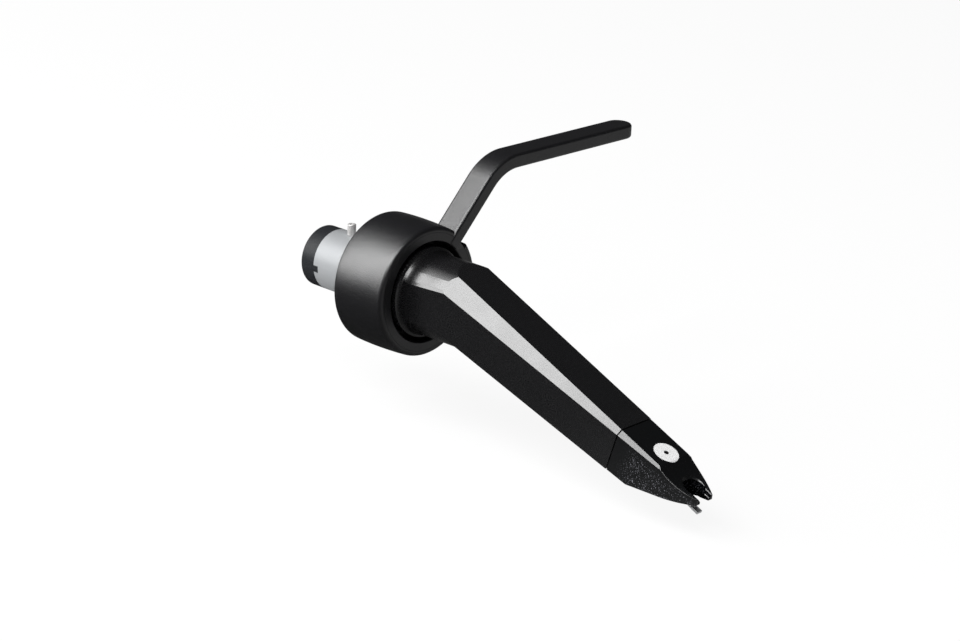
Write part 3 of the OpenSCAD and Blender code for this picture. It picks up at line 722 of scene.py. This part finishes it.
SOFTBOXES = {
    "Key softbox": ((-0.59, 0.15, 0.79), 0.22, 0.25, "key_light"),
    "Rear softbox": ((-0.60, 0.64, 0.49), 0.28, 0.50, "rear_light"),
    "Upper softbox": ((-0.22, 0.64, 0.74), 0.24, 0.20, "upper_light"),
    "Front softbox": ((-0.54, -0.32, 0.78), 0.20, 0.24, "fill_light"),
}
LAMP_TARGET = Vector((5, -22, 0)) * MM
LAMP_DISTANCE = 0.6
CAMERA_RANGE = (10 * MM, 20)
FLOOR_HALF = 3.0
FLOOR_TINT = (0.9, 0.9, 0.9)
FLOOR_ROUGHNESS = 0.9

# The floor's glow in reflections grows lighter over these distances towards the front right:
# painted light, standing in for lamplight falling on the floor from the front
FLOOR_FADE = (-20 * MM, 80 * MM)


def view_axes():
    """Right, up and backward directions of the photographed view"""
    s = studio()
    right = Vector((math.cos(s.turn), math.sin(s.turn), 0))
    back = Vector((math.sin(s.turn) * math.cos(s.rise), -math.cos(s.turn) * math.cos(s.rise),
                   math.sin(s.rise)))
    up = back.cross(right)
    turned_right = right * math.cos(s.roll) + up * math.sin(s.roll)
    turned_up = up * math.cos(s.roll) - right * math.sin(s.roll)
    return turned_right, turned_up, back


def place_camera():
    right, up, back = view_axes()
    s = studio()
    data = bpy.data.cameras.new("Photograph's view")
    data.lens = s.lens
    data.clip_start, data.clip_end = CAMERA_RANGE
    camera = bpy.data.objects.new("Photograph's view", data)
    turn = Matrix((right, up, back)).transposed().to_4x4()
    eye = right * s.shift_right - up * s.shift_down + back * s.distance
    camera.matrix_world = Matrix.Translation(eye) @ turn
    bpy.context.scene.collection.objects.link(camera)
    bpy.context.scene.camera = camera


def softbox(name, towards, width, height, radiance):
    """A rectangular panel in that direction from the body, turned to face it"""
    data = bpy.data.lights.new(name, "AREA")
    data.shape = "RECTANGLE"
    data.size = width
    data.size_y = height
    data.energy = radiance * math.pi * width * height
    lamp = bpy.data.objects.new(name, data)
    out = Vector(towards).normalized()
    face = out.to_track_quat("Z", "Y").to_matrix().to_4x4()
    lamp.matrix_world = Matrix.Translation(LAMP_TARGET + out * LAMP_DISTANCE) @ face
    bpy.context.scene.collection.objects.link(lamp)


def floor_white():
    """White to the camera, still shaded by the object's shadow, and in reflections a dimmer glow
    with painted light, lighter towards the front right
    """
    shader = Shader("floor_white")
    path = shader.node("LightPath", {}, {}).socket.node.outputs
    camera, glossy, through = [Signal(shader, path[f"Is {kind} Ray"])
                               for kind in ("Camera", "Glossy", "Transmission")]
    shader.set(Base_Color=FLOOR_TINT, Roughness=FLOOR_ROUGHNESS, Specular_IOR_Level=0.0)
    mirrored = (glossy + through).clamped()
    x, y, z = shader.axes(shader.place())
    ahead = (x - y).ramp(*FLOOR_FADE)
    painted_reflected_glow = shader.mix(ahead, [studio().mirrored_rear] * 3, [studio().mirrored_front] * 3)
    glow = shader.node("Emission", {}, {"Color": shader.mix(mirrored, (1, 1, 1), painted_reflected_glow)})
    share = camera * studio().seen + mirrored
    mixed = shader.node("MixShader", {}, {"Fac": share.clamped()})
    plain_input, glow_input = mixed.socket.node.inputs[1:]
    links = shader.tree.links
    links.new(shader.surface.outputs[0], plain_input)
    links.new(glow.socket, glow_input)
    links.new(mixed.socket, shader.tree.nodes["Material Output"].inputs["Surface"])
    return shader.material


def light_world():
    """A dim room that the camera sees as white"""
    world = bpy.data.worlds.new("White studio")
    world.use_nodes = True
    tree = world.node_tree
    background = tree.nodes["Background"]
    path = tree.nodes.new("ShaderNodeLightPath")
    glossy = tree.nodes.new("ShaderNodeMath")
    glossy.operation = "MULTIPLY_ADD"
    glossy.inputs[1].default_value = studio().mirrored - studio().ambient
    glossy.inputs[2].default_value = studio().ambient
    tree.links.new(path.outputs["Is Glossy Ray"], glossy.inputs[0])
    seen = tree.nodes.new("ShaderNodeMath")
    seen.operation = "MAXIMUM"
    tree.links.new(path.outputs["Is Camera Ray"], seen.inputs[0])
    tree.links.new(glossy.outputs[0], seen.inputs[1])
    background.inputs["Color"].default_value = (1, 1, 1, 1)
    tree.links.new(seen.outputs[0], background.inputs["Strength"])
    bpy.context.scene.world = world


class CARTRIDGE_OT_stage(bpy.types.Operator):
    """Camera, softboxes, white floor and room"""

    bl_idname = "cartridge.stage"
    bl_label = "Stage"

    def execute(self, context):
        place_camera()
        light_world()
        for name, (towards, width, height, radiance) in SOFTBOXES.items():
            softbox(name, towards, width, height, getattr(studio(), radiance))
        bm = bmesh.new()
        bmesh.ops.create_grid(bm, x_segments=1, y_segments=1, size=FLOOR_HALF)
        bmesh.ops.translate(bm, verts=bm.verts, vec=(0, 0, -studio().floor_drop))
        floor = add_object("floor", bm, floor_white())
        context.scene.view_settings.view_transform = "Standard"
        return {"FINISHED"}


OPERATORS = (
    CARTRIDGE_OT_plug,
    CARTRIDGE_OT_collar,
    CARTRIDGE_OT_body,
    CARTRIDGE_OT_generator,
    CARTRIDGE_OT_stylus_unit,
    CARTRIDGE_OT_cantilever,
    CARTRIDGE_OT_stage,
)


class CARTRIDGE_PT_panel(bpy.types.Panel):
    """Lists the cartridge's pieces and their settings"""

    bl_label = "Stylus cartridge"
    bl_idname = "CARTRIDGE_PT_panel"
    bl_space_type = "VIEW_3D"
    bl_region_type = "UI"
    bl_category = "Cartridge"

    def draw(self, context):
        for operator in OPERATORS:
            self.layout.operator(operator.bl_idname)
        for key, group in SETTINGS.items():
            box = self.layout.box()
            for name in group.__annotations__:
                box.prop(getattr(context.scene, key), name)


def register():
    for cls in (*SETTINGS.values(), *OPERATORS, CARTRIDGE_PT_panel):
        bpy.utils.register_class(cls)
    for key, group in SETTINGS.items():
        setattr(bpy.types.Scene, key, PointerProperty(type=group))


def unregister():
    for key in SETTINGS:
        delattr(bpy.types.Scene, key)
    for cls in (CARTRIDGE_PT_panel, *reversed(OPERATORS), *reversed(SETTINGS.values())):
        bpy.utils.unregister_class(cls)


def main():
    register()
    for operator in OPERATORS:
        group, name = operator.bl_idname.split(".")
        getattr(getattr(bpy.ops, group), name)()
    bpy.context.view_layer.update()


if __name__ == "__main__":
    main()
